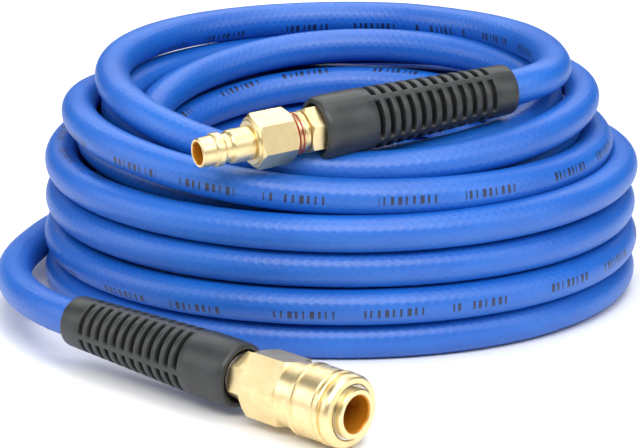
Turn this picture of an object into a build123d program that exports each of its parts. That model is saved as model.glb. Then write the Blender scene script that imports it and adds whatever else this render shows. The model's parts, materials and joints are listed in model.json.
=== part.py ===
"""Coiled air hose: hybrid hose with a plug on one end and a quick coupler on the other.

Millimetres, +Z up, the coil standing on the floor at Z = 0. Both end fittings are
drawn upright along Z, from their outer face towards the hose, then laid in place.
"""

import os
from math import cos, pi, radians, sin

from build123d import *

# Hose: a quarter-inch bore under a 12 mm cover.
HOSE_D = 12.0
HOSE_R = HOSE_D / 2
HOSE_BORE_R = 3.25
FIT_GAP = 0.02

# Coil: how its outer turns are stacked, and the tilted turns that lie on them.
COIL_TURN_R = 97.0
COIL_SHOULDER_R = 91.0
COIL_INNER_R = 60.0
COIL_CENTRE_Y = 4.0
COIL_PITCH = 12.2
COIL_FULL_TURNS = 4
CROWN_TURN_R = 80.0
CROWN_LOWER_R = 82.0
CROWN_TOP_Z = 71.4
CROWN_DEPTH = 26.0
CROWN_NORMAL = (0.03, -0.11, 1.0)

# The part's own origin, the centre of its underside, seen from the coil's axis.
ORIGIN_X = -7.757
ORIGIN_Y = -35.662

# Hose end kit, the same on both ends, from the face of the stem's hexagon.
THREAD_R = 6.55
THREAD_HELD = 7.0
PLUG_THREAD_SHOWN = 5.5
COUPLER_THREAD_SHOWN = 1.2
STEM_BORE_R = 2.4
STEM_HEX = 14.0
STEM_HEX_LENGTH = 6.0
STEM_HEX_TURN = 40.0
BARB_R = 3.6
BARB_ROOT_R = 3.2
BARB_PITCH = 3.0
BARB_COUNT = 4
HOSE_START = 7.0
FERRULE_R = 7.0
FERRULE_LENGTH = 14.0
CRIMP_DEPTH = 0.35
SEALANT_R = 7.1
PLUG_SEALANT_LENGTH = 2.4
COUPLER_SEALANT_LENGTH = 0.6

# Bend restrictor: a tapered rubber sleeve with rows of slots.
PLUG_BOOT_START = 4.4
COUPLER_BOOT_START = 5.8
BOOT_LENGTH = 73.2
BOOT_FRONT_R = 10.5
BOOT_BACK_R = 8.4
BOOT_LIP = 1.6
BOOT_LIP_R = 10.2
BOOT_LIP_LENGTH = 3.0
BOOT_RECESS_R = 8.35
BOOT_RECESS_DEPTH = 4.0
BOOT_FERRULE_END = 19.5
BOOT_FLOOR_R = 6.9
SLOT_COUNT = 12
SLOT_START = 18.8
SLOT_PITCH = 3.96
SLOT_WIDTH = 1.8
SLOT_ROWS = 4
RIB_WIDTH = 1.9

# Plug: the nipple that pushes into a quick coupler.
PLUG_LENGTH = 19.3
PLUG_BORE_R = 3.6
PLUG_TIP_R = 4.9
PLUG_COLLAR_R = 5.5
PLUG_BODY_R = 5.5
PLUG_GROOVE_R = 4.65
PLUG_HEX = 16.0
PLUG_HEX_LENGTH = 13.0
PLUG_HEX_TURN = 17.0
PLUG_TURN = 29.0
PLUG_RISE = 3.8
PLUG_TIP = (-45.6, -97.25, 71.0)

# Coupler: stations along its axis, from the mouth towards the hose.
SLEEVE_R = 11.6
SLEEVE_END = 18.5
SLEEVE_SHOULDER = 13.0
SLEEVE_SKIRT_R = 10.5
SOCKET_R = 7.75
MOUTH_R = 5.6
MOUTH_GUIDE_END = 8.4
MOUTH_LENGTH = 15.0
PLUG_SEAL_LENGTH = 2.4
SEAT_AT = 20.5
CHAMBER_R = 6.1
SOCKET_STEP_AT = 23.8
SOCKET_END_AT = 29.5
SOCKET_THREAD_R = 7.0
REAR_AT = 23.8
REAR_NECK_AT = 17.6
REAR_SKIRT_R = 9.65
REAR_HEX_AT = 24.2
REAR_END_AT = 39.0
REAR_HEX = 20.0
REAR_HEX_TURN = 9.0
REAR_NECK_R = 10.3
REAR_BORE_R = 6.6
RELEASE_TRAVEL = 4.0
BALL_R = 1.5
BALL_AT = 10.5
BALL_COUNT = 6
BALL_TURN = 30.0
BALL_LOCKED_R = 6.2
BALL_TRAVEL = 0.85
SNAP_RING_AT = 2.0
SNAP_RING_R = 8.45
CROWN_AT = 17.3
POPPET_DISC_R = 5.8
SPRING_SEAT_AT = 31.0
COUPLER_TURN = 42.0
COUPLER_DIP = 1.5
MOUTH = (3.9, -174.7, 11.8)

# Free hose, in points chosen by hand. A tail starts on its fitting's axis.
PLUG_TAIL_FROM = 94.3
PLUG_TAIL_CORNER = 136.6
PLUG_TAIL = [(73.2, 14.5, 79.8), (58.5, 50.0, 78.8)]
PLUG_TAIL_RADII = [36.0, 85.0]
COUPLER_TAIL_FROM = 75.0
COUPLER_TAIL_CORNER = 163.5
COUPLER_TAIL = [(-101.0, 58.0, 6.0), (-57.0, 104.0, 6.0), (0.0, 104.0, 6.0)]
COUPLER_TAIL_RADII = [82.0, 93.0, 61.0]

# Where one rib of each restrictor stands, round its axis.
PLUG_RIB_TURN = 36.0
COUPLER_RIB_TURN = 83.0


def direction(turn, rise):
    """Unit vector at an angle round Z from +X, and then up."""
    flat = cos(radians(rise))
    return Vector(flat * cos(radians(turn)), flat * sin(radians(turn)), sin(radians(rise)))


BALLS = range(BALL_COUNT)
PLUG_AXIS = direction(PLUG_TURN, PLUG_RISE)
COUPLER_AXIS = direction(180 - COUPLER_TURN, COUPLER_DIP)
PLUG_STEM_AT = PLUG_LENGTH + PLUG_HEX_LENGTH + PLUG_THREAD_SHOWN
COUPLER_STEM_AT = REAR_END_AT + COUPLER_THREAD_SHOWN


def axis_plane(start, axis, along=0.0):
    """The plane across a fitting's axis at a distance from its outer face."""
    return Plane(origin=Vector(*start) + axis * along, x_dir=(-axis.Y, axis.X, 0), z_dir=axis)


PLUG_PLANE = axis_plane(PLUG_TIP, PLUG_AXIS)
COUPLER_PLANE = axis_plane(MOUTH, COUPLER_AXIS)


def turned(outline):
    """A round solid from its half outline, as (radius, height) points."""
    with BuildPart() as body:
        with BuildSketch(Plane.XZ):
            with BuildLine():
                Polyline(*outline, close=True)
            make_face()
        revolve(axis=Axis.Z)
    return body.part


def ring(inner, outer, start, end):
    """A plain ring between two radii and two heights."""
    return turned([(inner, start), (outer, start), (outer, end), (inner, end)])


def hexagon(across, start, end, chamfer, turn=0.0):
    """A hexagonal bar with the corners of both ends turned round."""
    flat = across / 2
    corner = flat / cos(radians(30)) + 0.1
    with BuildPart() as body:
        with BuildSketch(Plane.XY.offset(start)):
            RegularPolygon(flat, 6, major_radius=False, rotation=turn)
        extrude(amount=end - start)
        with BuildSketch(Plane.XZ):
            with BuildLine():
                Polyline(
                    (0, start),
                    (flat, start),
                    (corner, start + chamfer),
                    (corner, end - chamfer),
                    (flat, end),
                    (0, end),
                    close=True,
                )
            make_face()
        revolve(axis=Axis.Z, mode=Mode.INTERSECT)
    return body.part


def spring(radius, wire, start, end, turns):
    """A helical spring between two heights, its wire inside both."""
    height = end - start - wire
    with BuildPart() as body:
        with BuildLine() as path:
            Helix(pitch=height / turns, height=height, radius=radius)
        with BuildSketch(Plane(origin=path.line @ 0, z_dir=path.line % 0)):
            Circle(wire / 2)
        sweep(is_frenet=True)
    return body.part.moved(Location((0, 0, start + wire / 2)))


def tube_along(points, radii, name):
    """Hose along straight runs joined by tangent arcs, hollow from end to end."""
    with BuildPart() as body:
        with BuildLine() as path:
            FilletPolyline(*points, radius=radii)
        with BuildSketch(Plane(origin=path.line @ 0, z_dir=path.line % 0)):
            Circle(HOSE_R)
            Circle(HOSE_BORE_R, mode=Mode.SUBTRACT)
        sweep()
    section = pi * (HOSE_R**2 - HOSE_BORE_R**2)
    length = path.wires()[0].length
    print(name, "radii", radii, "length", round(length, 1))
    print(name, "volume", round(body.part.volume), "expected", round(section * length))
    return body.part


# ---------------------------------------------------------------- hose


def hose_coil():
    """The outer shape of the wound hose: stacked turns under a tilted crown."""
    top = COIL_FULL_TURNS * COIL_PITCH + HOSE_R
    with BuildPart() as coil:
        with BuildSketch(Plane.XZ):
            with Locations((COIL_TURN_R / 2, HOSE_D / 4)):
                Rectangle(COIL_TURN_R, HOSE_D / 2)
            with Locations((COIL_TURN_R / 2, top / 2)):
                Rectangle(COIL_TURN_R, top - HOSE_D)
            with Locations((COIL_SHOULDER_R / 2, top / 2)):
                Rectangle(COIL_SHOULDER_R, top)
            for turn in range(COIL_FULL_TURNS):
                with Locations((COIL_TURN_R, HOSE_R + turn * COIL_PITCH)):
                    Circle(HOSE_R)
            with Locations((COIL_SHOULDER_R, top)):
                Circle(HOSE_R)
        revolve(axis=Axis.Z)
    with BuildPart() as crown:
        with BuildSketch(Plane.XZ):
            with Locations((CROWN_TURN_R / 2, -CROWN_DEPTH / 2)):
                Rectangle(CROWN_TURN_R, CROWN_DEPTH)
            with Locations((CROWN_TURN_R, -HOSE_R)):
                Circle(HOSE_R)
            with Locations((CROWN_LOWER_R, -HOSE_R - HOSE_D * 0.9)):
                Circle(HOSE_R)
        revolve(axis=Axis.Z)
    crown_plane = Plane(origin=(0, 0, CROWN_TOP_Z), z_dir=CROWN_NORMAL)
    with BuildPart() as bore:
        Cylinder(COIL_INNER_R, 4 * CROWN_TOP_Z)
    whole = coil.part + crown_plane.location * crown.part - bore.part
    return Pos(0, COIL_CENTRE_Y, 0) * whole


def hose_tail(start, stem_at, along, corner, free_points, radii, name):
    """Hose from inside its ferrule, straight through the restrictor, then free."""
    plane, axis = start
    inner = ring(HOSE_BORE_R, HOSE_R, stem_at + HOSE_START, along)
    route = [plane.origin + axis * along, plane.origin + axis * corner]
    route += [Vector(*point) for point in free_points]
    return plane.location * inner + tube_along(route, radii, name)


# ---------------------------------------------------------------- hose end kit


def hose_stem(thread_shown):
    """Brass stem: male thread, hexagon and a barbed tail, bored through."""
    thread_start = -thread_shown - THREAD_HELD
    outline = [(STEM_BORE_R, thread_start), (THREAD_R - 0.6, thread_start)]
    outline += [(THREAD_R, thread_start + 0.6), (THREAD_R, -0.5)]
    outline += [(THREAD_R - 0.8, -0.5), (THREAD_R - 0.8, 0)]
    start = HOSE_START + 1.0
    outline += [(BARB_ROOT_R, 0), (BARB_ROOT_R, start)]
    for barb in range(BARB_COUNT):
        low = start + barb * BARB_PITCH
        outline += [(BARB_R, low + 0.3), (BARB_ROOT_R, low + BARB_PITCH)]
    outline += [(STEM_BORE_R, start + BARB_COUNT * BARB_PITCH)]
    return turned(outline) + (
        hexagon(STEM_HEX, 0, STEM_HEX_LENGTH, 0.8, STEM_HEX_TURN)
        - ring(0, STEM_BORE_R, -1, STEM_HEX_LENGTH + 1)
    )


def thread_sealant(thread_shown, length):
    """Sealant squeezed out round the male thread."""
    inner = THREAD_R + FIT_GAP
    start = -thread_shown
    end = start + length
    middle = (start + end) / 2
    return turned(
        [(inner, start), (SEALANT_R - 0.2, start), (SEALANT_R, middle), (SEALANT_R - 0.2, end)]
        + [(inner, end)]
    )


def ferrule():
    """Crimped collar over the end of the hose, with three pressed rings."""
    inner = HOSE_R + FIT_GAP
    start = HOSE_START - 0.6
    end = HOSE_START + FERRULE_LENGTH
    outline = [(BARB_ROOT_R + FIT_GAP, start), (FERRULE_R - 0.4, start), (FERRULE_R, start + 0.4)]
    for low in (start + 2.6, start + 6.2, start + 9.8):
        outline += [(FERRULE_R, low), (FERRULE_R - CRIMP_DEPTH, low + 0.5)]
        outline += [(FERRULE_R - CRIMP_DEPTH, low + 1.3), (FERRULE_R, low + 1.8)]
    outline += [(FERRULE_R, end - 0.3), (FERRULE_R - 0.3, end), (inner, end)]
    outline += [(inner, HOSE_START - FIT_GAP), (BARB_ROOT_R + FIT_GAP, HOSE_START - FIT_GAP)]
    return turned(outline)


def bend_restrictor(rib_turn):
    """Rubber sleeve that keeps the hose from kinking, slotted to bend with it."""
    taper = (BOOT_FRONT_R - BOOT_BACK_R) / BOOT_LENGTH
    outline = [
        (BOOT_RECESS_R, 0),
        (BOOT_LIP_R, 0),
        (BOOT_FRONT_R, BOOT_LIP_LENGTH),
        (BOOT_FRONT_R, SLOT_START - 4),
        (BOOT_BACK_R + 0.2, BOOT_LENGTH - 6),
        (BOOT_BACK_R, BOOT_LENGTH),
        (HOSE_R + FIT_GAP, BOOT_LENGTH),
        (HOSE_R + FIT_GAP, BOOT_FERRULE_END),
        (FERRULE_R + FIT_GAP, BOOT_FERRULE_END),
        (FERRULE_R + FIT_GAP, BOOT_RECESS_DEPTH),
        (BOOT_RECESS_R, BOOT_RECESS_DEPTH),
    ]
    with BuildPart() as boot:
        with BuildSketch(Plane.XZ):
            with BuildLine():
                Polyline(*outline, close=True)
            make_face()
        revolve(axis=Axis.Z)
        lip = boot.edges().filter_by(GeomType.CIRCLE).group_by(Axis.Z)[0].sort_by(SortBy.RADIUS)[-1]
        fillet(lip, BOOT_LIP - 0.3)
        back = boot.edges().filter_by(GeomType.CIRCLE).group_by(Axis.Z)[-1].sort_by(SortBy.RADIUS)[-1]
        fillet(back, 0.8)
    with BuildPart() as slots:
        for slot in range(SLOT_COUNT):
            with BuildSketch(Plane.XY.offset(SLOT_START + slot * SLOT_PITCH)):
                Circle(BOOT_FRONT_R + 2)
                Circle(BOOT_FLOOR_R + 0.4 - slot * taper, mode=Mode.SUBTRACT)
                for row in range(SLOT_ROWS):
                    with Locations(Rot(0, 0, rib_turn + row * 360 / SLOT_ROWS)):
                        with Locations((BOOT_FRONT_R, 0)):
                            Rectangle(BOOT_FRONT_R, RIB_WIDTH, mode=Mode.SUBTRACT)
            extrude(amount=SLOT_WIDTH)
    return boot.part - slots.part


# ---------------------------------------------------------------- plug


def plug_nipple():
    """Brass nipple: locking collar and groove in front, hexagon and thread behind."""
    end = PLUG_LENGTH + PLUG_HEX_LENGTH
    thread_start = end - THREAD_HELD - 1.0
    outline = [
        (PLUG_BORE_R + 0.3, 0),
        (PLUG_TIP_R - 0.5, 0),
        (PLUG_TIP_R - 0.2, 0.3),
        (PLUG_TIP_R, 4.7),
        (PLUG_COLLAR_R - 0.2, 5.1),
        (PLUG_COLLAR_R, 5.5),
        (PLUG_COLLAR_R, 7.5),
        (PLUG_COLLAR_R - 0.2, 7.9),
        (PLUG_GROOVE_R, 8.5),
        (PLUG_GROOVE_R, 10.1),
        (PLUG_BODY_R - 0.3, 10.7),
        (PLUG_BODY_R, 11.2),
        (PLUG_BODY_R, PLUG_LENGTH - 1.3),
        (PLUG_BODY_R - 0.4, PLUG_LENGTH - 1.3),
        (PLUG_BODY_R - 0.4, PLUG_LENGTH - 0.9),
        (PLUG_HEX / 2 - 0.9, PLUG_LENGTH - 0.9),
        (PLUG_HEX / 2 - 0.4, PLUG_LENGTH - 0.4),
        (PLUG_HEX / 2 - 0.4, PLUG_LENGTH + 0.6),
        (THREAD_R + 0.6, PLUG_LENGTH + 0.8),
        (THREAD_R + 0.6, end),
        (THREAD_R + FIT_GAP, end - 0.4),
        (THREAD_R + FIT_GAP, thread_start),
        (PLUG_BORE_R, thread_start),
        (PLUG_BORE_R, 0.3),
    ]
    bar = hexagon(PLUG_HEX, PLUG_LENGTH, end, 0.9, PLUG_HEX_TURN) - ring(0, THREAD_R + 0.3, -1, end + 1)
    return turned(outline) + bar


# ---------------------------------------------------------------- coupler


def ball_way(number):
    """Direction out from the coupler's axis through a ball."""
    turn = radians(BALL_TURN + number * 360 / BALL_COUNT)
    return Vector(cos(turn), sin(turn), 0)


def ball_place(number):
    """Centre of a ball that holds the plug."""
    return Vector(0, 0, BALL_AT) + ball_way(number) * BALL_LOCKED_R


def coupler_socket():
    """Front body: mouth, ball holes, seal groove, valve seat and rear thread."""
    seal_start = MOUTH_LENGTH
    seal_end = seal_start + PLUG_SEAL_LENGTH
    outline = [
        (MOUTH_R + 0.5, 0),
        (SOCKET_R - 0.4, 0),
        (SOCKET_R, 0.4),
        (SOCKET_R, SNAP_RING_AT),
        (SOCKET_R - 0.7, SNAP_RING_AT),
        (SOCKET_R - 0.7, SNAP_RING_AT + 1.1),
        (SOCKET_R, SNAP_RING_AT + 1.1),
        (SOCKET_R, SOCKET_STEP_AT - FIT_GAP),
        (SOCKET_THREAD_R, SOCKET_STEP_AT - FIT_GAP),
        (SOCKET_THREAD_R, SOCKET_END_AT),
        (CHAMBER_R, SOCKET_END_AT),
        (CHAMBER_R, SEAT_AT),
        (4.75, SEAT_AT),
        (4.75, SEAT_AT - 0.8),
        (PLUG_TIP_R + 0.3, SEAT_AT - 0.8),
        (PLUG_TIP_R + 0.3, seal_end),
        (6.7, seal_end),
        (6.7, seal_start),
        (MOUTH_R + 0.25, seal_start),
        (MOUTH_R + 0.25, MOUTH_GUIDE_END + 0.25),
        (MOUTH_R, MOUTH_GUIDE_END),
        (MOUTH_R, 0.5),
    ]
    with BuildPart() as holes:
        with Locations(*[Location(Plane(origin=ball_place(n), z_dir=ball_way(n))) for n in BALLS]):
            Cylinder(BALL_R + 0.03, SOCKET_R)
    return turned(outline) - holes.part


def coupler_rear_body():
    """Rear body: neck, hexagon and the female thread that takes the stem."""
    outline = [
        (SOCKET_THREAD_R + FIT_GAP, REAR_AT),
        (REAR_SKIRT_R, REAR_AT),
        (REAR_SKIRT_R, REAR_NECK_AT),
        (REAR_NECK_R - 0.3, REAR_NECK_AT),
        (REAR_NECK_R, REAR_NECK_AT + 0.3),
        (REAR_NECK_R, REAR_HEX_AT),
        (REAR_HEX / 2 - 0.6, REAR_HEX_AT),
        (REAR_HEX / 2 - 0.6, REAR_END_AT),
        (REAR_BORE_R + 0.5, REAR_END_AT),
        (REAR_BORE_R, REAR_END_AT - 0.5),
        (REAR_BORE_R, SOCKET_END_AT + 1.1),
        (SOCKET_THREAD_R + FIT_GAP, SOCKET_END_AT + 1.1),
    ]
    bar = hexagon(REAR_HEX, REAR_HEX_AT, REAR_END_AT, 1.1, REAR_HEX_TURN)
    return turned(outline) + (bar - ring(0, REAR_HEX / 2 - 1.0, 0, REAR_END_AT + 1))


def coupler_sleeve():
    """Release sleeve: its ramp and land hold the balls down until it is drawn back."""
    ramp_start = BALL_AT - RELEASE_TRAVEL + 0.46
    ramp_end = BALL_AT + 0.46
    relief_r = BALL_LOCKED_R + BALL_TRAVEL + BALL_R + 0.06
    land_r = SOCKET_R + 0.05
    waist_r = SLEEVE_R - 0.3
    outline = [
        (8.9, 1.9),
        (10.3, 1.9),
        (10.8, 2.1),
        (SLEEVE_R - 0.5, 2.6),
        (SLEEVE_R - 0.25, 3.2),
        (SLEEVE_R - 0.2, 3.8),
        (SLEEVE_R - 0.2, 4.6),
        (SLEEVE_R - 0.35, 5.0),
        (SLEEVE_R - 0.9, 5.3),
        (SLEEVE_R - 0.9, 5.8),
        (SLEEVE_R - 0.2, 6.1),
        (SLEEVE_R, 6.5),
        (SLEEVE_R, 7.1),
        (SLEEVE_R - 0.2, 7.5),
        (SLEEVE_R - 0.75, 7.8),
        (SLEEVE_R - 0.75, 8.5),
        (waist_r, 8.9),
        (waist_r, 15.8),
        (waist_r - 0.35, 16.05),
        (waist_r - 0.35, 16.5),
        (SLEEVE_R - 0.1, 16.9),
        (SLEEVE_R - 0.1, 18.0),
        (SLEEVE_R - 0.5, SLEEVE_END),
        (SLEEVE_SKIRT_R, SLEEVE_END),
        (SLEEVE_SKIRT_R, SLEEVE_SHOULDER),
        (land_r, SLEEVE_SHOULDER),
        (land_r, ramp_end),
        (relief_r, ramp_start),
        (relief_r, ramp_start - 2.0),
        (land_r, ramp_start - 2.0),
        (land_r, 3.3),
        (8.7, 3.3),
        (8.7, 2.1),
    ]
    return turned(outline)


def locking_ball(number):
    """One of the balls that hold the plug, in its locked place."""
    with BuildPart() as ball:
        with Locations(ball_place(number)):
            Sphere(BALL_R)
    return ball.part


def retaining_ring():
    """Snap ring round the socket that stops the sleeve."""
    inner = SOCKET_R - 0.7 + FIT_GAP
    return ring(inner, SNAP_RING_R, SNAP_RING_AT + 0.05, SNAP_RING_AT + 1.05)


def plug_seal():
    """Rubber seal round the tip of the plug, lipped towards the mouth."""
    start = MOUTH_LENGTH + FIT_GAP
    end = MOUTH_LENGTH + PLUG_SEAL_LENGTH - FIT_GAP
    inner = PLUG_TIP_R - 0.05
    lip = MOUTH_R - 0.2
    return turned([(6.68, start), (6.68, end), (inner, end), (inner, start + 0.8), (lip, start)])


def valve_poppet():
    """Poppet that the plug pushes open: ported crown, disc and spring guide."""
    outline = [
        (0, SEAT_AT + 0.9),
        (3.2, SEAT_AT + 0.9),
        (3.2, CROWN_AT),
        (4.4, CROWN_AT),
        (4.6, CROWN_AT + 0.2),
        (4.6, SEAT_AT + 0.85),
        (POPPET_DISC_R, SEAT_AT + 0.85),
        (POPPET_DISC_R, SEAT_AT + 1.9),
        (2.3, SEAT_AT + 1.9),
        (2.3, SEAT_AT + 5.2),
        (1.9, SEAT_AT + 5.6),
        (0, SEAT_AT + 5.6),
    ]
    with BuildPart() as ports:
        with PolarLocations(0, 2):
            with Locations((0, 0, CROWN_AT + 1.9)):
                Box(14, 2.6, 1.8)
        with Locations((0, 0, CROWN_AT + 1.9)):
            Box(2.6, 14, 1.8)
    return turned(outline) - ports.part


def valve_seal():
    """Rubber ring on the poppet's disc that closes on the seat."""
    return ring(4.6 + FIT_GAP, POPPET_DISC_R, SEAT_AT, SEAT_AT + 0.83)


def valve_spring():
    """Spring that closes the poppet."""
    return spring(3.4, 0.6, SEAT_AT + 1.9, SPRING_SEAT_AT, 4.5)


def valve_spring_seat():
    """Washer in the rear body that the valve spring stands on."""
    return ring(2.8, REAR_BORE_R - FIT_GAP, SPRING_SEAT_AT, SPRING_SEAT_AT + 0.9)


def body_joint_seal():
    """Ring that seals the socket's thread in the rear body."""
    with BuildPart() as seal:
        with BuildSketch(Plane.XZ):
            with Locations((SOCKET_THREAD_R - 0.5, SOCKET_END_AT + 0.52)):
                Circle(0.48)
        revolve(axis=Axis.Z)
    return seal.part


def sleeve_spring():
    """Spring that pushes the sleeve back over the balls."""
    return spring(9.05, 0.9, SLEEVE_SHOULDER + 0.05, REAR_AT - 0.05, 3.5)


def write(part, name, place=None):
    """Lays a part in place, moves it to the part's own origin and writes it."""
    laid = place.location * part if place else part
    moved = Pos(-ORIGIN_X, -ORIGIN_Y, 0) * laid
    moved.label = name
    export_step(moved, f"parts/{name}.step")


def main():
    os.makedirs("parts", exist_ok=True)
    write(hose_coil(), "hose_coil")
    plug_start = (PLUG_PLANE, PLUG_AXIS)
    coupler_start = (COUPLER_PLANE, COUPLER_AXIS)
    write(
        hose_tail(
            plug_start,
            PLUG_STEM_AT,
            PLUG_TAIL_FROM,
            PLUG_TAIL_CORNER,
            PLUG_TAIL,
            PLUG_TAIL_RADII,
            "hose_plug_tail",
        ),
        "hose_plug_tail",
    )
    write(
        hose_tail(
            coupler_start,
            COUPLER_STEM_AT,
            COUPLER_TAIL_FROM,
            COUPLER_TAIL_CORNER,
            COUPLER_TAIL,
            COUPLER_TAIL_RADII,
            "hose_coupler_tail",
        ),
        "hose_coupler_tail",
    )
    plug_kit = PLUG_PLANE.offset(PLUG_STEM_AT)
    write(hose_stem(PLUG_THREAD_SHOWN), "plug_hose_stem", plug_kit)
    write(thread_sealant(PLUG_THREAD_SHOWN, PLUG_SEALANT_LENGTH), "plug_thread_sealant", plug_kit)
    write(ferrule(), "plug_ferrule", plug_kit)
    write(bend_restrictor(PLUG_RIB_TURN), "plug_bend_restrictor", plug_kit.offset(PLUG_BOOT_START))
    coupler_kit = COUPLER_PLANE.offset(COUPLER_STEM_AT)
    coupler_sealant = thread_sealant(COUPLER_THREAD_SHOWN, COUPLER_SEALANT_LENGTH)
    write(hose_stem(COUPLER_THREAD_SHOWN), "coupler_hose_stem", coupler_kit)
    write(coupler_sealant, "coupler_thread_sealant", coupler_kit)
    write(ferrule(), "coupler_ferrule", coupler_kit)
    coupler_boot = coupler_kit.offset(COUPLER_BOOT_START)
    write(bend_restrictor(COUPLER_RIB_TURN), "coupler_bend_restrictor", coupler_boot)
    write(plug_nipple(), "plug_nipple", PLUG_PLANE)
    write(coupler_socket(), "coupler_socket", COUPLER_PLANE)
    write(coupler_rear_body(), "coupler_rear_body", COUPLER_PLANE)
    write(coupler_sleeve(), "coupler_sleeve", COUPLER_PLANE)
    write(retaining_ring(), "sleeve_retaining_ring", COUPLER_PLANE)
    write(sleeve_spring(), "sleeve_spring", COUPLER_PLANE)
    write(plug_seal(), "plug_seal", COUPLER_PLANE)
    write(valve_poppet(), "valve_poppet", COUPLER_PLANE)
    write(valve_seal(), "valve_seal", COUPLER_PLANE)
    write(valve_spring(), "valve_spring", COUPLER_PLANE)
    write(valve_spring_seat(), "valve_spring_seat", COUPLER_PLANE)
    write(body_joint_seal(), "body_joint_seal", COUPLER_PLANE)
    for number in BALLS:
        write(locking_ball(number), f"locking_ball_{number + 1}", COUPLER_PLANE)


main()
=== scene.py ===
"""Coiled air hose: its looks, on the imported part. Metres, in the part's own frame."""

import json
import math

import bmesh
import bpy
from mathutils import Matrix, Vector


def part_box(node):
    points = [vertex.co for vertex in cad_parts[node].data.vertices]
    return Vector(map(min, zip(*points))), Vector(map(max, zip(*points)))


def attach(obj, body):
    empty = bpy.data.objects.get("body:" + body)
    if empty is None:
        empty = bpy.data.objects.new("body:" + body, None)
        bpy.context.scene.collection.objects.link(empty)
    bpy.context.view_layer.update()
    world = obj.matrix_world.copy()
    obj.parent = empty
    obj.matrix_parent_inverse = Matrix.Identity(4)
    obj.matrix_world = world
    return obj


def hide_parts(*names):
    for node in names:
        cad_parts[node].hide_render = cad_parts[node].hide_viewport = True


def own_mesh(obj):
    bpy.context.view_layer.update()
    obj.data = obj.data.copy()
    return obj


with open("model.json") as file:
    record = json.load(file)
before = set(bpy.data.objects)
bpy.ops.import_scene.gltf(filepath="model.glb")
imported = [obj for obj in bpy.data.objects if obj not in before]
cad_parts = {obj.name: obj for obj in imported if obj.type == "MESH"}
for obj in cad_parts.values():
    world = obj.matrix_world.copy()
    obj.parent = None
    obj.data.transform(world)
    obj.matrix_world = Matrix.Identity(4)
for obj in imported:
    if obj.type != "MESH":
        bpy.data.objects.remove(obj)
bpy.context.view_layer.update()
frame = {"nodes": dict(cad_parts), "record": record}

MM = 0.001


def rgb(red, green, blue):
    """An opaque colour."""
    return (red, green, blue, 1.0)


# Hose: its size and its mesh.
HOSE_D = 12 * MM
HOSE_SIDES = 32
HOSE_STEP = 4.2 * MM

# Both fittings: stations along their axes, from the outer face towards the hose.
PLUG_HEX_END = 32.3 * MM
PLUG_STEM_AT = 37.8 * MM
COUPLER_STEM_AT = 40.2 * MM
HOSE_START = 7 * MM
PLUG_MOUNT_AT = 14.6 * MM
# PLUG_BORE_R and MOUTH_SHADE_R: radii of the bores painted darker amber, painted shade and warm
# reflection.
PLUG_BORE_R = 3.75 * MM
MOUTH_MOUNT_AT = 4.45 * MM
MOUTH_SHADE_R = 5.95 * MM
PLUG_BOOT_AT = 42.2 * MM
COUPLER_BOOT_AT = 46 * MM
THREAD_PITCH = 1.34 * MM

# Wound wires: steps in one turn, and sides round the wire.
HELIX_STEPS = 36
HELIX_SIDES = 8

# The coupler's springs, as in the part, in millimetres: node, the joint that shortens
# it and by how much, coil radius, wire, first and last station, turns.
SPRINGS = [
    ("sleeve_spring", "sleeve_slide", 4.0, 9.05, 0.9, 13.05, 23.75, 3.5),
    ("valve_spring", "valve_slide", 2.6, 3.4, 0.6, 22.4, 31.0, 4.5),
]

# Bend restrictor, as in the part: its outline, from the fitting's side, as
# (radius, along) in millimetres, and its slots between four ribs.
BOOT_FRONT = [
    (7.1, 4), (8.35, 4), (8.35, 0.5), (8.45, 0.2), (8.7, 0.03), (9.1, 0), (9.5, 0.12),
    (9.85, 0.45), (10.12, 0.95), (10.28, 1.6), (10.34, 2.4), (10.42, 3.4), (10.5, 5.6),
    (10.5, 14.4),
]
BOOT_BACK = [(8.58, 67.2), (8.4, 72.4), (8.3, 72.8), (8.1, 73.05), (7.7, 73.2), (6.05, 73.2)]
BOOT_TAPER = [(10.5, 14.4), (8.58, 67.2)]
BOOT_FLOOR = 7.0
SLOT_COUNT = 12
SLOT_START = 18.8
SLOT_PITCH = 3.96
SLOT_WIDTH = 1.85
SLOT_EDGE = [(-0.28, 0), (-0.1, 0.03), (0.02, 0.13), (0.1, 0.4), (0.16, 1)]
# Where both the slot's depth and the share away from a rib reach this, faces are painted
# near-black: painted shade.
SHADE_FROM = 0.4
RIB_COUNT = 4
RIB_EDGE = [(0, 0), (4.4, 0), (5.4, 0.03), (6.1, 0.13), (6.7, 0.4), (7.2, 1)]
RIB_FREE_TURNS = 7
PLUG_RIB_TURN = 36.0
COUPLER_RIB_TURN = 83.0

# The free ends of the hose, as in the part: the last station on the fitting's axis
# that the restrictor holds straight, the corner, and points from the coil's axis.
PLUG_HELD_AT = 94.3 * MM
PLUG_CORNER_AT = 136.6 * MM
PLUG_FREE = [(73.2, 14.5, 79.8), (58.5, 50.0, 78.8)]
COUPLER_HELD_AT = 75 * MM
COUPLER_CORNER_AT = 163.5 * MM
COUPLER_FREE = [(-103.5, 58, 6), (-58, 106, 6)]

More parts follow.
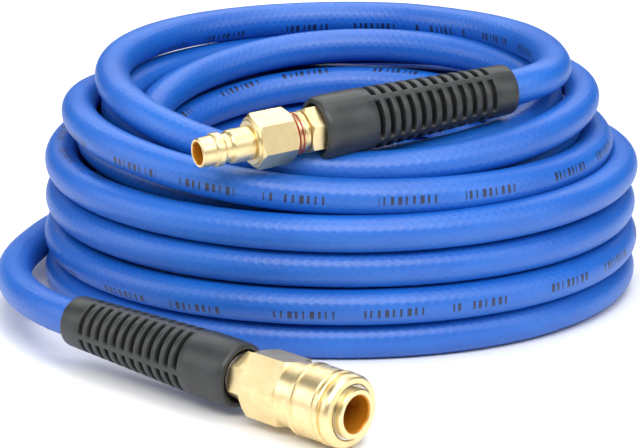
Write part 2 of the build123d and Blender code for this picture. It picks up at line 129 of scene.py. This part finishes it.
# The coil, from the coupler's end up: how far from its axis and how high each turn
# passes on the far, right, near and left side. It is wound down again inside the
# outer turns, then up as the innermost layer, and ends in two loose turns on top.
TURNS = [
    [(100, 6), (98.5, 6.5), (88, 6), (98.6, 6.2)],
    [(95, 18), (98.9, 18.6), (91, 18.3), (98.4, 19.6)],
    [(94.5, 30), (98, 30.8), (89.6, 30.6), (97.7, 33)],
    [(94, 42.2), (98.5, 44), (91, 42.7), (97.6, 46.2)],
    [(93.5, 54.5), (89.6, 51.8), (86, 53.6), (91.3, 63.2)],
    [(83, 53), (78.5, 56), (74, 46.5), (86.5, 52.5)],
    [(82, 41.5), (83, 44), (77, 34.5), (85, 31)],
    [(81.5, 30), (79, 32), (77, 22.3), (84, 18)],
    [(80.5, 18.5), (79, 9), (65.5, 6.5), (68, 14)],
    [(70, 30), (70, 23), (65, 20), (67.5, 30)],
    [(68, 43), (68.5, 38), (64.5, 33.5), (67, 44)],
    [(65, 56), (66.5, 52), (61.5, 46), (67, 57)],
    [(69.6, 69.2), (72, 66.6), (62.6, 57.5), (77.8, 63)],
    [(80.6, 65.9), (84.6, 67.8), (76, 60), (79.6, 75)],
    [(82.5, 77), (74, 79.3)],
]
COIL_BEHIND = 4 * MM
QUARTER_STEPS = 8
COIL_LAST = 0.25

# Cover: the braid that shows faintly through it, and rows of short plain bars in ink,
# uneven in width, on a line that drifts once round the hose in INK_DRIFT metres.
HOSE_BLUES = rgb(0.001, 0.09, 0.455), rgb(0.003, 0.13, 0.56)
BRAID_PITCH = 3.1 * MM
BRAID_WRAPS = 11
INK = rgb(0.004, 0.008, 0.03)
INK_COVER = 0.94
INK_WORD = 31 * MM
INK_GROUP = 12.7 * MM
INK_GAP_BELOW = -0.25
INK_PITCH = 2.3 * MM
INK_UNEVEN = 7.3 * MM
INK_WIDTHS = 0.25, 0.6
INK_DRIFT = 1.83
INK_START = 0.433
INK_HALF_HEIGHT = 0.037
WHOLE_TURNS = 8

# Metals and rubbers, each as its lighter and darker tone.
BRASS = rgb(0.91, 0.76, 0.44), rgb(0.84, 0.66, 0.34)
# Darker amber painted inside the fittings' bores: painted shade and warm reflection.
BRASS_BORE_PAINTED_SHADE = rgb(0.6, 0.23, 0.012)
NICKEL = rgb(0.66, 0.63, 0.58), rgb(0.5, 0.47, 0.43)
ZINC = rgb(0.2, 0.19, 0.17), rgb(0.14, 0.13, 0.12)
RUBBER = rgb(0.03, 0.034, 0.036), rgb(0.019, 0.022, 0.023)
# Near-black rubber on the faces far down in the restrictor's slots: painted shade.
RUBBER_SHADE = rgb(0.003, 0.003, 0.003), rgb(0.002, 0.002, 0.002)
NITRILE = rgb(0.02, 0.02, 0.02), rgb(0.012, 0.012, 0.012)
SEALANT = rgb(0.36, 0.05, 0.02), rgb(0.2, 0.02, 0.01)
PAPER = rgb(0.9, 0.9, 0.9), rgb(0.94, 0.94, 0.94)

# Camera: where it looks, from the coil's axis, and from how far away.
AIM = Vector((-7, 0, 20)) * MM
CAMERA_DISTANCE = 1.0
CAMERA_RISE = 16.0
CAMERA_LENS = 159.4

# Studio: half the floor's width, and the sky's strength at the horizon and from a
# height up, as the Z of its direction.
FLOOR_REACH = 4
SKY_STRENGTH = 0.35, 0.8
SKY_FROM = 0.4


def mount(name):
    """A mount's place, and the way that its mate leaves."""
    found = next(m for m in frame["record"]["mounts"] if m["name"] == name)
    return Vector(found["pos_m"]), Vector(found["axis"])


def coil_axis():
    """Where the coil's axis stands on the floor, in front of the middle of its box."""
    low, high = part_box("hose_coil")
    return Vector(((low.x + high.x) / 2, (low.y + high.y) / 2 - COIL_BEHIND, 0))


COIL = coil_axis()
PLUG_AT, PLUG_OUT = mount("plug_tip")
PLUG_TIP = PLUG_AT + PLUG_OUT * PLUG_MOUNT_AT
COUPLER_AT, COUPLER_OUT = mount("coupler_mouth")
MOUTH = COUPLER_AT + COUPLER_OUT * MOUTH_MOUNT_AT


def on_plug(along):
    """A point on the plug's axis, that far from its tip."""
    return PLUG_TIP - PLUG_OUT * along


def on_coupler(along):
    """A point on the coupler's axis, that far from its mouth."""
    return MOUTH - COUPLER_OUT * along


# ---------------------------------------------------------------- materials


class Surface:
    """A node material being made: its shader, and a short way to add nodes."""

    def __init__(self, name, **values):
        self.material = bpy.data.materials.new(name)
        self.material.use_nodes = True
        self.tree = self.material.node_tree
        self.shader = self.tree.nodes["Principled BSDF"]
        for socket, value in values.items():
            self.set(self.shader, socket.replace("_", " "), value)

    def set(self, node, socket, value):
        """Links a socket to an input, or gives the input its value."""
        if isinstance(value, bpy.types.NodeSocket):
            self.tree.links.new(value, node.inputs[socket])
        else:
            node.inputs[socket].default_value = value

    def add(self, kind, inputs=(), output=0, **settings):
        """A new node, as the output that it is wanted for."""
        node = self.tree.nodes.new(kind)
        for name, value in settings.items():
            setattr(node, name, value)
        for socket, value in dict(inputs).items():
            self.set(node, socket, value)
        return node.outputs[output]

    def maths(self, operation, *values):
        """Scalar arithmetic."""
        return self.add("ShaderNodeMath", enumerate(values), operation=operation)

    def wave(self, distance, length):
        """A sine of a distance, from -1 to 1, that comes round once in a length."""
        return self.maths("SINE", self.maths("MULTIPLY", distance, 2 * math.pi / length))

    def noise(self, vector, scale, detail=2.0, roughness=0.5):
        """Noise, as a number about one half."""
        inputs = {"Vector": vector, "Scale": scale, "Detail": detail, "Roughness": roughness}
        return self.add("ShaderNodeTexNoise", inputs)

    def between(self, factor, low, high, start=0.0, end=1.0):
        """A number that goes from low to high as the factor goes from start to end."""
        source = {"Value": factor, "From Min": start, "From Max": end}
        return self.add("ShaderNodeMapRange", source | {"To Min": low, "To Max": high})

    def mix(self, factor, first, second):
        """A colour between two."""
        return self.add(
            "ShaderNodeMix", {0: factor, 6: first, 7: second}, output=2, data_type="RGBA"
        )

    def bump(self, height, distance, strength=1.0, normal=None):
        """A normal, raised by a height."""
        inputs = {"Height": height, "Distance": distance, "Strength": strength}
        if normal:
            inputs["Normal"] = normal
        return self.add("ShaderNodeBump", inputs)

    def place(self):
        """Coordinates in the piece's own frame."""
        return self.add("ShaderNodeTexCoord", output="Object")


def braid(s, along, around):
    """Two crossing families of threads that spiral round the hose, from -1 to 1."""
    lead = s.maths("MULTIPLY", along, 2 * math.pi / BRAID_PITCH)
    wrap = s.maths("MULTIPLY", around, 2 * math.pi * BRAID_WRAPS)
    left = s.maths("SINE", s.maths("ADD", lead, wrap))
    right = s.maths("SINE", s.maths("SUBTRACT", lead, wrap))
    return s.maths("SMOOTH_MAX", left, right, 0.5)


def ink_bars(s, along, around):
    """The ink's cover: bars in uneven groups along one line of the hose."""
    finer = s.maths("MULTIPLY", s.wave(along, INK_GROUP), 0.6)
    beat = s.maths("ADD", s.wave(along, INK_WORD), finer)
    grouped = s.maths("GREATER_THAN", beat, INK_GAP_BELOW)
    bar = s.maths("FRACT", s.maths("DIVIDE", along, INK_PITCH))
    width = s.between(s.wave(along, INK_UNEVEN), *INK_WIDTHS, -1, 1)
    printed = s.maths("MULTIPLY", grouped, s.maths("LESS_THAN", bar, width))
    line = s.maths("ADD", s.maths("DIVIDE", along, INK_DRIFT), INK_START)
    # The whole turns keep the number positive.
    turned = s.maths("FRACT", s.maths("ADD", s.maths("SUBTRACT", around, line), WHOLE_TURNS))
    off_line = s.maths("ABSOLUTE", s.maths("SUBTRACT", turned, 0.5))
    on_line = s.maths("LESS_THAN", off_line, INK_HALF_HEIGHT)
    return s.maths("MULTIPLY", s.maths("MULTIPLY", printed, on_line), INK_COVER)


def hose_blue():
    """Satin blue cover: the braid shows faintly through it, with a broken ink line."""
    s = Surface("hose blue", Specular_IOR_Level=0.75)
    along = s.add("ShaderNodeSeparateXYZ", {"Vector": s.add("ShaderNodeUVMap", uv_map="hose")})
    around = along.node.outputs[1]
    place = s.place()
    threads = braid(s, along, around)
    grain = s.noise(place, 1500, detail=3)
    cloud = s.noise(place, 35)
    weave = s.between(threads, 0, 0.09, -1, 1)
    tone = s.maths("ADD", s.maths("MULTIPLY", cloud, 0.6), weave)
    blue = s.mix(s.between(tone, 0, 1, 0.15, 0.55), *HOSE_BLUES)
    s.set(s.shader, "Base Color", s.mix(ink_bars(s, along, around), blue, INK))
    s.set(s.shader, "Roughness", s.between(grain, 0.4, 0.52, 0.3, 0.7))
    relief = s.bump(threads, 0.04 * MM, 0.8)
    s.set(s.shader, "Normal", s.bump(grain, 0.05 * MM, 0.6, relief))
    return s.material


def machined(name, axis, tones, roughness, bore=None):
    """Turned metal: fine lines round the axis, and painted shade inside a bore, a darker, warmer
    tone there.

    The bore is a point on its axis and its radius.
    """
    s = Surface(name, Metallic=1.0)
    place = s.place()
    along = s.add(
        "ShaderNodeVectorMath", {0: place, 1: axis}, output=1, operation="DOT_PRODUCT"
    )
    turning = s.add(
        "ShaderNodeTexNoise",
        {"W": s.maths("MULTIPLY", along, 9000), "Scale": 1.0, "Detail": 3.0},
        noise_dimensions="1D",
    )
    tone = s.noise(place, 260, detail=4)
    marks = s.noise(place, 2500)
    colour = s.mix(s.between(tone, 0, 1, 0.35, 0.7), *tones)
    if bore:
        start, radius = bore
        offset = s.add("ShaderNodeVectorMath", {0: place, 1: start}, operation="SUBTRACT")
        spoke = s.add("ShaderNodeVectorMath", {0: offset, 1: axis}, operation="CROSS_PRODUCT")
        reach = s.add("ShaderNodeVectorMath", {0: spoke}, output=1, operation="LENGTH")
        # Within the bore the brass is painted darker amber and less metallic: painted shade and
        # warm reflection.
        inside = s.between(reach, 1, 0, radius, radius + 0.15 * MM)
        colour = s.mix(inside, colour, BRASS_BORE_PAINTED_SHADE)
        s.set(s.shader, "Metallic", s.between(inside, 1, 0.35))
    s.set(s.shader, "Base Color", colour)
    s.set(s.shader, "Roughness", s.between(turning, roughness - 0.05, roughness + 0.07, 0.3, 0.7))
    relief = s.bump(turning, 0.02 * MM, 0.5)
    s.set(s.shader, "Normal", s.bump(marks, 0.01 * MM, 0.3, relief))
    return s.material


def moulded_rubber(name, tones, roughness):
    """Matte moulded rubber with a fine grain."""
    s = Surface(name, Metallic=0.0)
    place = s.place()
    grain = s.noise(place, 1800, detail=4, roughness=0.6)
    cloud = s.noise(place, 120, detail=3)
    s.set(s.shader, "Base Color", s.mix(s.between(cloud, 0, 1, 0.35, 0.65), *tones))
    s.set(s.shader, "Roughness", s.between(grain, roughness - 0.08, roughness + 0.1, 0.3, 0.7))
    s.set(s.shader, "Normal", s.bump(grain, 0.05 * MM, 0.6))
    return s.material


def sealant():
    """Glossy red-brown thread sealant."""
    s = Surface("sealant", Roughness=0.35)
    place = s.place()
    lumps = s.noise(place, 900, detail=3)
    s.set(s.shader, "Base Color", s.mix(lumps, *SEALANT))
    s.set(s.shader, "Normal", s.bump(lumps, 0.2 * MM, 0.6))
    return s.material


def floor_paper():
    """Pale matte studio paper."""
    s = Surface("floor paper", Roughness=0.9)
    fibres = s.noise(s.place(), 400, detail=3)
    s.set(s.shader, "Base Color", s.mix(fibres, *PAPER))
    return s.material


def dress(material, *nodes):
    """Gives CAD nodes a material."""
    for node in nodes:
        mesh = frame["nodes"][node].data
        mesh.materials.clear()
        mesh.materials.append(material)


# ---------------------------------------------------------------- meshes


def link(name, data):
    """A new object in the scene."""
    made = bpy.data.objects.new(name, data)
    bpy.context.collection.objects.link(made)
    return made


def link_mesh(name, mesh):
    """A new object in the scene, with this mesh."""
    data = bpy.data.meshes.new(name)
    mesh.to_mesh(data)
    mesh.free()
    return link(name, data)


def around_circle(first, second, radius, sides):
    """Points round a circle, from its centre."""
    turns = [2 * math.pi * side / sides for side in range(sides)]
    return [(first * math.cos(turn) + second * math.sin(turn)) * radius for turn in turns]


def skin(mesh, rings):
    """Smooth faces between closed rings of vertices."""
    for near, far in zip(rings, rings[1:]):
        for step in range(len(near)):
            after = (step + 1) % len(near)
            face = mesh.faces.new((near[step], near[after], far[after], far[step]))
            face.smooth = True


def link_closed(name, mesh):
    """A new object in the scene, with this mesh and its open ends closed."""
    bmesh.ops.holes_fill(mesh, edges=mesh.edges)
    bmesh.ops.recalc_face_normals(mesh, faces=mesh.faces)
    return link_mesh(name, mesh)


# ---------------------------------------------------------------- hose


def from_coil(point):
    """A point given in millimetres from the coil's axis."""
    return COIL + Vector(point) * MM


def smooth(before, start, end, after, share):
    """A number on the smooth line through four, between the middle two."""
    slope_in = (end - before) / 2
    slope_out = (after - start) / 2
    cubic = 2 * start - 2 * end + slope_in + slope_out
    square = 3 * end - 3 * start - 2 * slope_in - slope_out
    return ((cubic * share + square) * share + slope_in) * share + start


def coil_points():
    """The coil's points: it passes four places in each turn, smoothly between them."""
    places = [place for turn in TURNS for place in turn]
    places = [places[0], *places, places[-1]]
    points = []
    for quarter in range(len(places) - 3):
        around = places[quarter : quarter + 4]
        last = quarter == len(places) - 4
        for step in range(QUARTER_STEPS):
            share = step / QUARTER_STEPS
            if last and share > COIL_LAST:
                break
            radius = smooth(*[place[0] for place in around], share)
            height = max(smooth(*[place[1] for place in around], share), HOSE_D / 2 / MM)
            turn = math.radians(90 - 90 * (quarter + share))
            points.append(from_coil((radius * math.cos(turn), radius * math.sin(turn), height)))
    return points


def hose_route():
    """The whole hose, from the plug's stem through the coil to the coupler's."""
    route = [on_plug(PLUG_STEM_AT + HOSE_START), on_plug(PLUG_HELD_AT), on_plug(PLUG_CORNER_AT)]
    route += [from_coil(point) for point in PLUG_FREE]
    route += reversed(coil_points())
    route += [from_coil(point) for point in reversed(COUPLER_FREE)]
    route += [on_coupler(COUPLER_CORNER_AT), on_coupler(COUPLER_HELD_AT)]
    route += [on_coupler(COUPLER_STEM_AT + HOSE_START)]
    return route


def centreline(route):
    """Points along the smooth line whose control points are the route's."""
    curve = bpy.data.curves.new("route", "CURVE")
    curve.dimensions = "3D"
    curve.resolution_u = 24
    spline = curve.splines.new("NURBS")
    spline.points.add(len(route) - 1)
    for point, place in zip(spline.points, route):
        point.co = (*place, 1)
    spline.order_u = 3
    spline.use_endpoint_u = True
    holder = bpy.data.objects.new("route", curve)
    mesh = bpy.data.meshes.new_from_object(holder)
    fine = [vertex.co.copy() for vertex in mesh.vertices]
    points = [fine[0]]
    for point in fine[1:]:
        if (point - points[-1]).length >= HOSE_STEP:
            points.append(point)
    points[-1] = fine[-1]
    bpy.data.objects.remove(holder)
    bpy.data.curves.remove(curve)
    bpy.data.meshes.remove(mesh)
    return points


def hose_rings(mesh, line):
    """Rings of vertices round a line, and how far along it each one is."""
    rings, along = [], [0.0]
    for index, point in enumerate(line):
        before, after = line[max(index - 1, 0)], line[min(index + 1, len(line) - 1)]
        ahead = (after - before).normalized()
        side = Vector((0, 0, 1)).cross(ahead).normalized()
        circle = around_circle(side, side.cross(ahead), HOSE_D / 2, HOSE_SIDES)
        rings.append([mesh.verts.new(point + spoke) for spoke in circle])
        if index:
            along.append(along[-1] + (point - line[index - 1]).length)
    return rings, along


def tube(name, line):
    """The hose round a line, its UVs the distance along it and the share round it."""
    mesh = bmesh.new()
    layer = mesh.loops.layers.uv.new("hose")
    rings, along = hose_rings(mesh, line)
    for index in range(len(rings) - 1):
        for step in range(HOSE_SIDES):
            corners = [(index, step), (index, step + 1), (index + 1, step + 1), (index + 1, step)]
            face = mesh.faces.new([rings[i][turn % HOSE_SIDES] for i, turn in corners])
            face.smooth = True
            for loop, (i, turn) in zip(face.loops, corners):
                loop[layer].uv = (along[i], turn / HOSE_SIDES)
    mesh.faces.new(rings[0])
    mesh.faces.new(reversed(rings[-1]))
    bmesh.ops.recalc_face_normals(mesh, faces=mesh.faces)
    return link_mesh(name, mesh)


def make_hose():
    """The whole hose in one piece, in place of the part's three."""
    line = centreline(hose_route())
    piece = tube("hose", line)
    piece.data.materials.append(hose_blue())
    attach(piece, "hose")
    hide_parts("hose_coil", "hose_plug_tail", "hose_coupler_tail")
    length = sum((after - before).length for before, after in zip(line, line[1:]))
    print("hose length", round(length, 3))


# ---------------------------------------------------------------- fitting details


def across(outward):
    """The two directions across a fitting's axis that its angles are counted from."""
    axis = -outward
    first = Vector((-axis.y, axis.x, 0)).normalized()
    return first, axis.cross(first)


def slot_rows():
    """The restrictor's rows from front to back: radius, station, depth of the slot."""
    rows = [(radius, along, 0) for radius, along in BOOT_FRONT]
    (front, front_at), (back, back_at) = BOOT_TAPER
    for slot in range(SLOT_COUNT):
        near = SLOT_START + slot * SLOT_PITCH
        cut = [(near + step, depth) for step, depth in SLOT_EDGE]
        cut += [(near + SLOT_WIDTH - step, depth) for step, depth in reversed(SLOT_EDGE)]
        for along, depth in cut:
            share = (along - front_at) / (back_at - front_at)
            rows.append((front + (back - front) * share, along, depth))
    return rows + [(radius, along, 0) for radius, along in BOOT_BACK]


def rib_turns():
    """Angles round the restrictor from one rib, each with its share of the slot."""
    quarter = 360 / RIB_COUNT
    free = quarter - 2 * RIB_EDGE[-1][0]
    turns = []
    for rib in range(RIB_COUNT):
        start = rib * quarter
        turns += [(start + step, share) for step, share in RIB_EDGE]
        for step in range(1, RIB_FREE_TURNS):
            turns.append((start + RIB_EDGE[-1][0] + free * step / RIB_FREE_TURNS, 1))
        turns += [(start + quarter - step, share) for step, share in reversed(RIB_EDGE[1:])]
    return turns


def restrictor(name, start, outward, rib_turn):
    """A moulded restrictor: slots with rounded edges between four ribs, the faces far down in
    them painted near-black as painted shade.
    """
    first, second = across(outward)
    mesh = bmesh.new()
    rings = []
    painted_shade_verts = set()
    for radius, along, depth in slot_rows():
        ring = []
        for turn, share in rib_turns():
            angle = math.radians(rib_turn + turn)
            cut = (radius - BOOT_FLOOR) * depth * share
            spoke = first * math.cos(angle) + second * math.sin(angle)
            vert = mesh.verts.new(start - outward * along * MM + spoke * (radius - cut) * MM)
            ring.append(vert)
            if min(depth, share) >= SHADE_FROM:
                painted_shade_verts.add(vert)
        rings.append(ring)
    skin(mesh, rings)
    # Faces wholly far down in a slot take the second, near-black material: painted shade.
    for face in mesh.faces:
        face.material_index = int(painted_shade_verts.issuperset(face.verts))
    return link_closed(name, mesh)


def helix(name, start, outward, radius, wire_r, length, turns, tip=1.0):
    """A round wire wound along an axis, and its ends thinned to a share of it."""
    first, second = across(outward)
    steps = int(turns * HELIX_STEPS)
    mesh = bmesh.new()
    rings = []
    for step in range(steps + 1):
        share = step / steps
        angle = 2 * math.pi * turns * share
        spoke = first * math.cos(angle) + second * math.sin(angle)
        centre = start - outward * length * share + spoke * radius
        thick = wire_r * min(1.0, tip + 6 * share, tip + 6 * (1 - share))
        circle = around_circle(spoke, outward, thick, HELIX_SIDES)
        rings.append([mesh.verts.new(centre + offset) for offset in circle])
    skin(mesh, rings)
    return link_closed(name, mesh)


def thread_bead(name, start, radius, bead_r, length, material):
    """A bead wound along the plug stem's thread, thin at both ends, in millimetres."""
    first = on_plug(PLUG_HEX_END + start * MM)
    turns = length * MM / THREAD_PITCH
    piece = helix(
        name, first, PLUG_OUT, radius * MM, bead_r * MM, length * MM, turns, tip=0.25
    )
    piece.data.materials.append(material)
    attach(piece, "hose")
    return piece


def make_springs():
    """The coupler's springs, as wound wire in place of the part's, from their first to their last
    station.
    """
    steel = machined("spring wire", COUPLER_OUT, NICKEL, 0.25)
    for node, joint, travel, radius, wire, start, end, turns in SPRINGS:
        first = on_coupler((start + wire / 2) * MM)
        length = (end - start - wire) * MM
        piece = helix(
            f"{node}_wire", first, COUPLER_OUT, radius * MM, wire / 2 * MM, length, turns
        )
        piece.data.materials.append(steel)
        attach(piece, "hose")
        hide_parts(node)
        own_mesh(piece)


def make_restrictors():
    """The two restrictors, in place of the part's."""
    rubber = moulded_rubber("restrictor rubber", RUBBER, 0.42)
    # The near-black rubber for the faces far down in the slots is painted shade.
    shade = moulded_rubber("restrictor slot painted shade", RUBBER_SHADE, 0.7)
    for end, start, outward, rib_turn in (
        ("plug", on_plug(PLUG_BOOT_AT), PLUG_OUT, PLUG_RIB_TURN),
        ("coupler", on_coupler(COUPLER_BOOT_AT), COUPLER_OUT, COUPLER_RIB_TURN),
    ):
        piece = restrictor(f"{end}_restrictor", start, outward, rib_turn)
        piece.data.materials.append(rubber)
        piece.data.materials.append(shade)
        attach(piece, "hose")
        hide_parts(f"{end}_bend_restrictor")


def make_thread():
    """The plug stem's thread crest, and the sealant squeezed out on it."""
    bead = thread_bead("sealant_bead", 0.45, 6.7, 0.4, 2.5, sealant())
    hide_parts("plug_thread_sealant")
    brass = machined("thread brass", PLUG_OUT, BRASS, 0.26)
    thread_bead("thread_crest", 0.2, 6.35, 0.5, 5, brass)


# ---------------------------------------------------------------- CAD nodes


def dress_fittings():
    """Materials for the part's own solids."""
    # The plug's and the socket's brass are painted darker amber within their bores: painted shade
    # and warm reflection.
    plug_brass = machined("plug brass", PLUG_OUT, BRASS, 0.36, (PLUG_TIP, PLUG_BORE_R))
    coupler_brass = machined("coupler brass", COUPLER_OUT, BRASS, 0.36)
    socket_brass = machined("socket brass", COUPLER_OUT, BRASS, 0.34, (MOUTH, MOUTH_SHADE_R))
    nickel = machined("nickel", COUPLER_OUT, NICKEL, 0.25)
    zinc = machined("dull zinc", COUPLER_OUT, ZINC, 0.5)
    nitrile = moulded_rubber("nitrile", NITRILE, 0.45)
    balls = [name for name in frame["nodes"] if name.startswith("locking_ball")]
    dress(plug_brass, "plug_nipple", "plug_hose_stem")
    dress(coupler_brass, "coupler_rear_body", "coupler_sleeve", "coupler_hose_stem")
    dress(socket_brass, "coupler_socket", "valve_poppet", "valve_spring_seat")
    dress(nickel, "sleeve_retaining_ring", *balls)
    dress(zinc, "plug_ferrule", "coupler_ferrule")
    dress(nitrile, "plug_seal", "valve_seal", "body_joint_seal")
    dress(sealant(), "coupler_thread_sealant")


# ---------------------------------------------------------------- studio


def make_camera():
    """The camera, in front of the coil and above it."""
    rise = math.radians(CAMERA_RISE)
    data = bpy.data.cameras.new("camera")
    data.lens = CAMERA_LENS
    data.clip_start = 0.05
    camera = link("camera", data)
    camera.location = COIL + AIM + CAMERA_DISTANCE * Vector((0, -math.cos(rise), math.sin(rise)))
    camera.rotation_euler = (math.radians(90) - rise, 0, 0)
    bpy.context.scene.camera = camera


def make_floor():
    """A large flat sheet of paper."""
    mesh = bmesh.new()
    bmesh.ops.create_grid(mesh, x_segments=8, y_segments=8, size=FLOOR_REACH)
    floor = link_mesh("floor", mesh)
    floor.data.materials.append(floor_paper())


def softbox(name, place, size, power, aim=COIL + AIM):
    """A large soft light, aimed at the coil or at a given place."""
    data = bpy.data.lights.new(name, "AREA")
    data.shape = "RECTANGLE"
    data.size, data.size_y = size
    data.energy = power
    lamp = link(name, data)
    lamp.location = place
    lamp.rotation_euler = (Vector(aim) - lamp.location).to_track_quat("-Z", "Y").to_euler()


def make_sky():
    """Even white light all round, dimmer near the horizon."""
    world = bpy.data.worlds.new("studio")
    world.use_nodes = True
    tree = world.node_tree
    way = tree.nodes.new("ShaderNodeTexCoord")
    split = tree.nodes.new("ShaderNodeSeparateXYZ")
    rise = tree.nodes.new("ShaderNodeMapRange")
    rise.inputs["From Max"].default_value = SKY_FROM
    rise.inputs["To Min"].default_value, rise.inputs["To Max"].default_value = SKY_STRENGTH
    tree.links.new(way.outputs["Generated"], split.inputs[0])
    tree.links.new(split.outputs["Z"], rise.inputs["Value"])
    tree.links.new(rise.outputs["Result"], tree.nodes["Background"].inputs["Strength"])
    bpy.context.scene.world = world


def make_lights():
    """The softboxes round the coil: place and size in metres, power in watts."""
    softbox("top", (0.1, 0.1, 1.5), (1.4, 0.9), 13)
    softbox("front", (0.0, -1.0, 1.1), (1.8, 0.55), 23)
    softbox("left", (-1.4, -0.15, 0.6), (0.9, 0.8), 7)
    softbox("right", (1.3, -0.5, 0.7), (0.4, 1.0), 6)
    softbox("back", (0.0, 1.1, 1.0), (2.2, 0.6), 13, aim=(0, 0.7, 0))


bpy.context.scene.view_settings.view_transform = "Standard"
make_camera()
make_hose()
make_restrictors()
make_thread()
make_springs()
dress_fittings()
make_floor()
make_sky()
make_lights()
